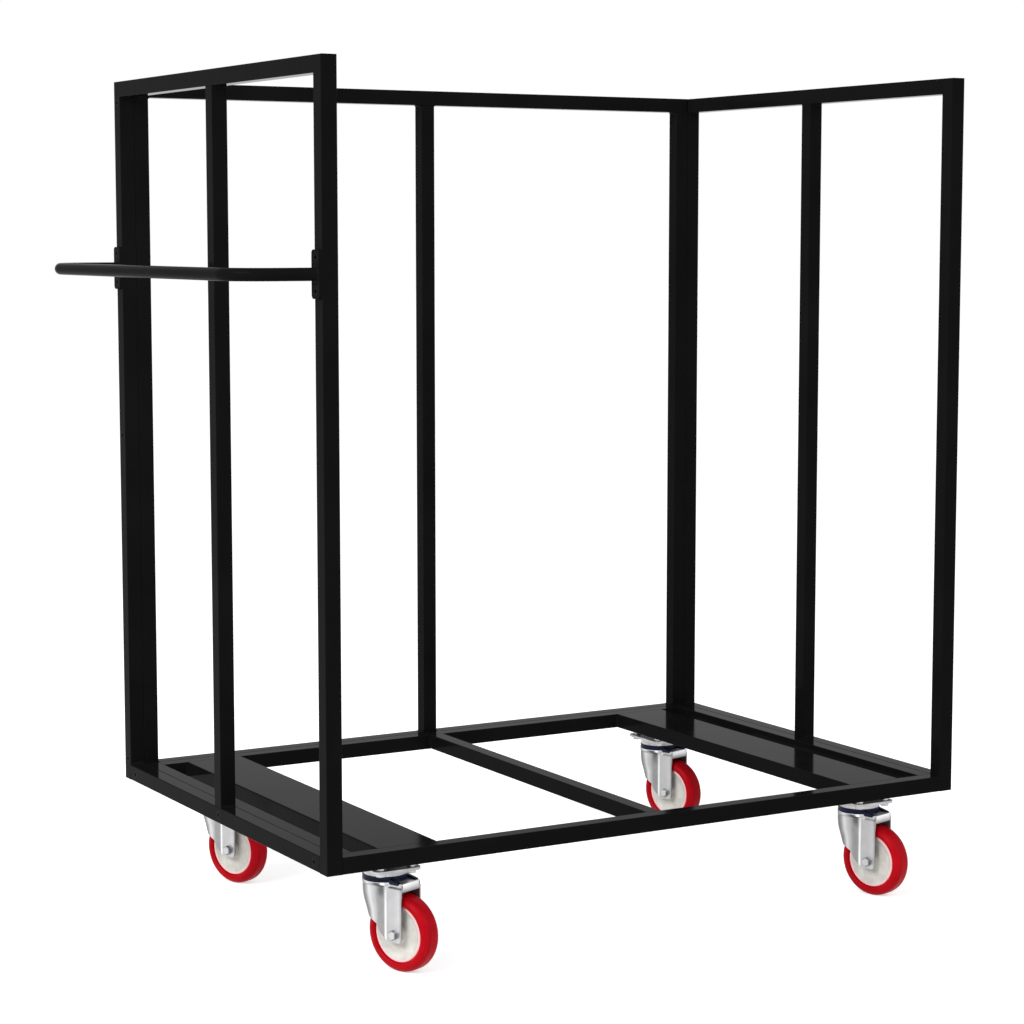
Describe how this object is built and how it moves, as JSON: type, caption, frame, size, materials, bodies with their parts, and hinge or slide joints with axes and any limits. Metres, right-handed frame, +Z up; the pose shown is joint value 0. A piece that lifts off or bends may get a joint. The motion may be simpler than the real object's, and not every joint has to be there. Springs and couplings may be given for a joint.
{
  "type": "banquet table trolley",
  "caption": "Black square-tube trolley for carrying folded banquet tables, open at the front, with a bent push handle and swivel castors.",
  "frame": {"origin": "on the floor, at the middle of the footprint", "axes": "+Z up, +X towards the right end (the handle is at -X), +Y towards the back frame, -Y the open front"},
  "size_m": [1.2926, 0.8054, 1.3495],
  "materials": {
    "frame_black": "satin black powder coat on steel tube",
    "handle_black": "satin black powder coat on round steel tube",
    "bolt_black": "black oxide steel",
    "zinc_steel": "bright zinc plated pressed steel",
    "zinc_fastener": "zinc plated steel",
    "bearing_steel": "polished bearing steel",
    "seal_blue": "dark blue moulded plastic",
    "hub_cream": "off-white nylon",
    "tyre_red": "smooth red polyurethane"
  },
  "bodies": {
    "frame": {"base_front_rail": "frame_black", "base_rear_rail": "frame_black", "base_left_rail": "frame_black", "base_right_rail": "frame_black", "base_centre_rail": "frame_black", "left_castor_carrier": "frame_black", "right_castor_carrier": "frame_black", "left_front_post": "frame_black", "left_middle_post": "frame_black", "left_rear_post": "frame_black", "left_top_rail": "frame_black", "left_bottom_rail": "frame_black", "right_front_post": "frame_black", "right_middle_post": "frame_black", "right_rear_post": "frame_black", "right_top_rail": "frame_black", "right_bottom_rail": "frame_black", "back_left_post": "frame_black", "back_centre_post": "frame_black", "back_right_post": "frame_black", "back_top_rail": "frame_black", "back_bottom_rail": "frame_black", "handle_tube": "handle_black", "handle_front_plate": "handle_black", "handle_rear_plate": "handle_black", "frame_bolts": "bolt_black", "handle_bolts": "bolt_black", "frame_nuts": "zinc_fastener", "handle_nuts": "zinc_fastener", "castor_sleeves": "zinc_fastener", "castor_plates": "zinc_steel", "castor_kingpins": "zinc_fastener", "swivel_balls": "bearing_steel", "castor_bolts": "zinc_fastener", "castor_nuts": "zinc_fastener"},
    "front_left_swivel_fork": {"front_left_fork": "zinc_steel", "front_left_seal": "seal_blue", "front_left_axle_bolt": "zinc_fastener", "front_left_axle_nut": "zinc_fastener"},
    "front_left_wheel": {"front_left_hub": "hub_cream", "front_left_tyre": "tyre_red"},
    "front_right_swivel_fork": {"front_right_fork": "zinc_steel", "front_right_seal": "seal_blue", "front_right_axle_bolt": "zinc_fastener", "front_right_axle_nut": "zinc_fastener"},
    "front_right_wheel": {"front_right_hub": "hub_cream", "front_right_tyre": "tyre_red"},
    "rear_left_swivel_fork": {"rear_left_fork": "zinc_steel", "rear_left_seal": "seal_blue", "rear_left_axle_bolt": "zinc_fastener", "rear_left_axle_nut": "zinc_fastener"},
    "rear_left_wheel": {"rear_left_hub": "hub_cream", "rear_left_tyre": "tyre_red"},
    "rear_right_swivel_fork": {"rear_right_fork": "zinc_steel", "rear_right_seal": "seal_blue", "rear_right_axle_bolt": "zinc_fastener", "rear_right_axle_nut": "zinc_fastener"},
    "rear_right_wheel": {"rear_right_hub": "hub_cream", "rear_right_tyre": "tyre_red"}
  },
  "joints": [
    {"name": "front_left_swivel", "type": "hinge", "parent": "frame", "child": "front_left_swivel_fork", "pos_m": [-0.37975, -0.3093, 0.1585], "axis": [0, 0, 1], "continuous": true},
    {"name": "front_left_wheel_spin", "type": "hinge", "parent": "front_left_swivel_fork", "child": "front_left_wheel", "pos_m": [-0.36626, -0.34268, 0.059], "axis": [0.9272, 0.3746, 0], "continuous": true},
    {"name": "front_right_swivel", "type": "hinge", "parent": "frame", "child": "front_right_swivel_fork", "pos_m": [0.51225, -0.3093, 0.1585], "axis": [0, 0, 1], "continuous": true},
    {"name": "front_right_wheel_spin", "type": "hinge", "parent": "front_right_swivel_fork", "child": "front_right_wheel", "pos_m": [0.52217, -0.34391, 0.059], "axis": [0.9613, 0.2756, 0], "continuous": true},
    {"name": "rear_left_swivel", "type": "hinge", "parent": "frame", "child": "rear_left_swivel_fork", "pos_m": [-0.37975, 0.2993, 0.1585], "axis": [0, 0, 1], "continuous": true},
    {"name": "rear_left_wheel_spin", "type": "hinge", "parent": "rear_left_swivel_fork", "child": "rear_left_wheel", "pos_m": [-0.36626, 0.26592, 0.059], "axis": [0.9272, 0.3746, 0], "continuous": true},
    {"name": "rear_right_swivel", "type": "hinge", "parent": "frame", "child": "rear_right_swivel_fork", "pos_m": [0.51225, 0.2993, 0.1585], "axis": [0, 0, 1], "continuous": true},
    {"name": "rear_right_wheel_spin", "type": "hinge", "parent": "rear_right_swivel_fork", "child": "rear_right_wheel", "pos_m": [0.52217, 0.26469, 0.059], "axis": [0.9613, 0.2756, 0], "continuous": true}
  ]
}
